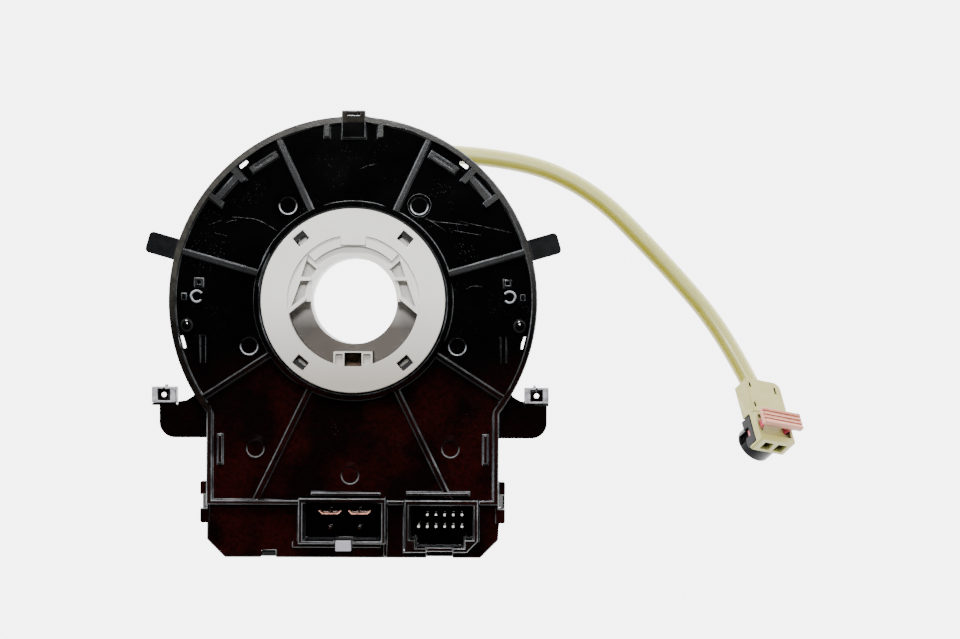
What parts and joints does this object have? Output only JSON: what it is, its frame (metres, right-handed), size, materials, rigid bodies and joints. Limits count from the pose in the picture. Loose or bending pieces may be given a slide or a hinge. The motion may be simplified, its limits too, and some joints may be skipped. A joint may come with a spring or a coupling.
{
  "type": "steering clock spring",
  "caption": "Rotary connector for a steering column: dished black case with two sockets, snapped-in pale hub, flat cable inside and an airbag lead with its plug.",
  "frame": {"origin": "on the turning axis, in the plane of the wheel-side end of the hub's bore", "axes": "+Z along the turning axis towards the steering column, +Y away from the two sockets, +X towards the side where the lead ends"},
  "size_m": [0.1912, 0.1287, 0.0395],
  "materials": {
    "black_cover": "moulded, semi-gloss",
    "black_case": "moulded, matte",
    "socket_black": "moulded",
    "hub_white": "moulded, satin",
    "rotor_grey": "moulded, matte",
    "cable_film": "polyester film over copper",
    "copper": "bright copper alloy",
    "tin": "tin plated",
    "latch_grey": "moulded, matte",
    "clip_steel": "spring steel",
    "joint_black": "moulded, matte",
    "lead_sleeve": "translucent soft sleeve",
    "plug_ivory": "moulded, satin",
    "snout_grey": "moulded, satin",
    "lock_pink": "moulded, satin"
  },
  "bodies": {
    "stator": {"rear_cover": "black_cover", "stator_case": "black_case", "flat_cable": "cable_film", "airbag_socket": "socket_black", "airbag_pins": "tin", "airbag_contacts": "copper", "airbag_latch": "latch_grey", "switch_socket": "socket_black", "switch_pins": "tin", "stator_joint_block": "joint_black", "stator_bus_bars": "copper", "wing_clip_left": "clip_steel", "wing_clip_right": "clip_steel"},
    "rotor": {"rotor_case": "rotor_grey", "hub": "hub_white", "wheel_socket": "joint_black", "wheel_terminals": "tin", "rotor_joint_block": "joint_black", "lead_clamp": "rotor_grey", "airbag_lead": "lead_sleeve", "plug_housing": "plug_ivory", "plug_lid": "plug_ivory", "plug_nose": "snout_grey", "plug_contacts": "tin"},
    "lock": {"plug_lock": "lock_pink"}
  },
  "joints": [
    {"name": "rotor_spin", "type": "hinge", "parent": "stator", "child": "rotor", "pos_m": [0, 0, 0], "axis": [0, 0, 1], "range_deg": [-900, 900], "deforming": ["flat_cable"]},
    {"name": "lock_slide", "type": "slide", "parent": "rotor", "child": "lock", "axis": [-0.5276, -0.5557, -0.6425], "range_m": [0, 0.0027]}
  ]
}
